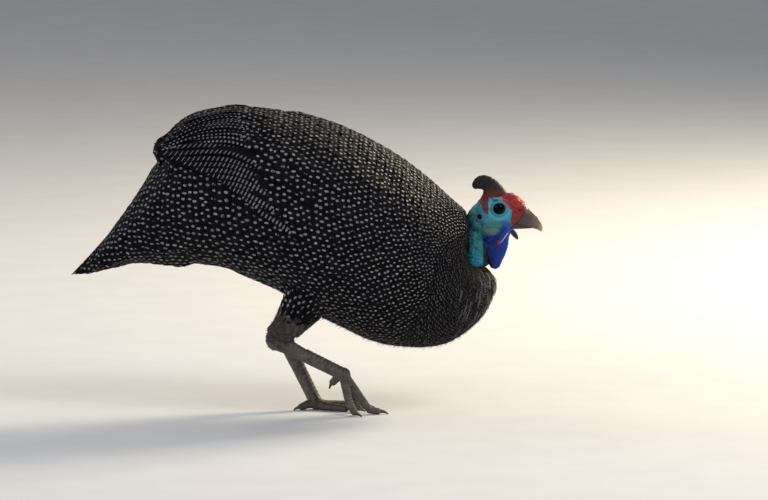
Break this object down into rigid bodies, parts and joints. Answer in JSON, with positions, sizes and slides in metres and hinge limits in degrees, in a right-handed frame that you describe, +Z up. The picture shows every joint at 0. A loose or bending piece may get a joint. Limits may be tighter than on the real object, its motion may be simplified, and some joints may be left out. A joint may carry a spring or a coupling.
{
  "type": "helmeted guinea fowl",
  "caption": "Life-size still model of a helmeted guinea fowl in a low running step, with folded wings, drooping tail, bare head with casque and wattles, and scaled legs.",
  "frame": {"origin": "on the ground, under the middle of the bird's overall length and width", "axes": "+X forward along the bird to its bill, +Y to the bird's left, +Z up"},
  "size_m": [0.4463, 0.1782, 0.2905],
  "materials": {
    "plumage": "slate-black feathers with small round grey-white spots",
    "flight_feathers": "slate-brown feathers with white bars and rows of spots",
    "head_skin": "bare wrinkled blue and red skin, soft sheen",
    "neck_skin": "bare teal blue skin with sparse dark hair feathers",
    "throat_skin": "smooth deep blue skin fold",
    "wattle_skin": "blue skin lobe with a red tip",
    "casque_horn": "dull dark brown horn, redder at its base",
    "bill_horn": "grey-brown horn with a paler tip, low sheen",
    "eye": "wet dark brown eye",
    "leg_scales": "dark grey-brown scaled skin",
    "claw_horn": "worn dark horn"
  },
  "bodies": {
    "root": {"torso": "plumage", "tail": "flight_feathers", "wing_left": "flight_feathers", "wing_right": "flight_feathers", "neck": "neck_skin", "head": "head_skin", "casque": "casque_horn", "bill_upper": "bill_horn", "bill_lower": "bill_horn", "throat_fold": "throat_skin", "eye_left": "eye", "eye_right": "eye", "wattle_left": "wattle_skin", "wattle_right": "wattle_skin", "thigh_left": "plumage", "thigh_right": "plumage", "shank_left": "leg_scales", "shank_right": "leg_scales", "foot_left": "leg_scales", "foot_right": "leg_scales", "claw_middle_left": "claw_horn", "claw_inner_left": "claw_horn", "claw_outer_left": "claw_horn", "claw_hallux_left": "claw_horn", "claw_middle_right": "claw_horn", "claw_inner_right": "claw_horn", "claw_outer_right": "claw_horn", "claw_hallux_right": "claw_horn"}
  },
  "joints": []
}
